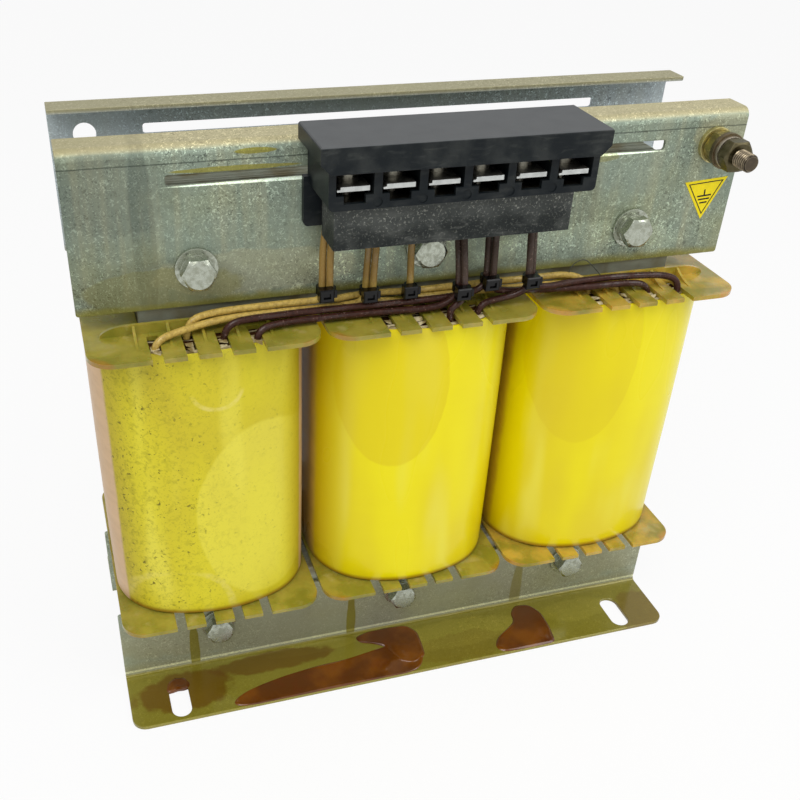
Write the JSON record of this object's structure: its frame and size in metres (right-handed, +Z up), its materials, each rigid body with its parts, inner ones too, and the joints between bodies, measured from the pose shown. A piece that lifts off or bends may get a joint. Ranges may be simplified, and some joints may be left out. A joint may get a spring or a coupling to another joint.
{
  "type": "three phase dry type transformer",
  "caption": "Open three-phase transformer: laminated core, yellow wound coils on slotted bobbins, bent sheet clamps with feet, and a black terminal block with tied leads.",
  "frame": {"origin": "middle of the standing surface, between the four feet", "axes": "+X along the row of coils, -Y towards the terminal block, +Z up"},
  "size_m": [0.3, 0.142, 0.2865],
  "materials": {
    "core_steel": "varnished lamination edges, dark grey",
    "galvanised_sheet": "galvanised, with thin amber varnish runs",
    "zinc_steel": "bright zinc plate",
    "sleeve_fibre": "brown fibre tube",
    "bobbin_nylon": "translucent yellow-olive moulding under varnish",
    "copper_wire": "enamelled copper",
    "insulation_paper": "cream paper",
    "yellow_film": "glossy lemon yellow film",
    "black_moulding": "satin black",
    "dusty_black_moulding": "black with grey dust",
    "terminal_steel": "bright plated",
    "terminal_brass": "dull brass",
    "passivated_steel": "yellow passivated, turned brown",
    "label_yellow": "yellow print on film",
    "ochre_sleeving": "varnished ochre sleeving",
    "brown_sleeving": "dark brown varnished sleeving",
    "tie_nylon": "black nylon"
  },
  "bodies": {
    "root": {"core_e_laminations": "core_steel", "core_i_laminations": "core_steel", "upper_clamp_front": "galvanised_sheet", "upper_clamp_rear": "galvanised_sheet", "lower_clamp_front": "galvanised_sheet", "lower_clamp_rear": "galvanised_sheet", "upper_yoke_bolts": "zinc_steel", "lower_yoke_bolts": "zinc_steel", "yoke_nuts": "zinc_steel", "yoke_flat_washers": "zinc_steel", "yoke_spring_washers": "zinc_steel", "block_fixing_screws": "zinc_steel", "block_fixing_washers": "zinc_steel", "bolt_insulating_sleeves": "sleeve_fibre", "bobbin_left": "bobbin_nylon", "bobbin_centre": "bobbin_nylon", "bobbin_right": "bobbin_nylon", "inner_winding_left": "copper_wire", "outer_winding_left": "copper_wire", "inner_winding_centre": "copper_wire", "outer_winding_centre": "copper_wire", "inner_winding_right": "copper_wire", "outer_winding_right": "copper_wire", "layer_insulation_left": "insulation_paper", "outer_paper_left": "insulation_paper", "layer_insulation_centre": "insulation_paper", "outer_paper_centre": "insulation_paper", "layer_insulation_right": "insulation_paper", "outer_paper_right": "insulation_paper", "coil_wrap_left": "yellow_film", "coil_wrap_centre": "yellow_film", "coil_wrap_right": "yellow_film", "terminal_block_body": "black_moulding", "terminal_block_cap": "black_moulding", "terminal_lead_guard": "dusty_black_moulding", "terminal_clamp_plates": "terminal_steel", "terminal_bars": "terminal_brass", "terminal_screws": "terminal_brass", "earth_stud": "passivated_steel", "earth_nuts": "passivated_steel", "earth_flat_washers": "passivated_steel", "earth_spring_washer": "passivated_steel", "earth_label": "label_yellow", "ochre_lead_1": "ochre_sleeving", "ochre_lead_2": "ochre_sleeving", "ochre_lead_3": "ochre_sleeving", "ochre_lead_4": "ochre_sleeving", "ochre_lead_5": "ochre_sleeving", "brown_lead_1": "brown_sleeving", "brown_lead_2": "brown_sleeving", "brown_lead_3": "brown_sleeving", "brown_lead_4": "brown_sleeving", "brown_lead_5": "brown_sleeving", "brown_lead_6": "brown_sleeving", "cable_ties": "tie_nylon"}
  },
  "joints": []
}
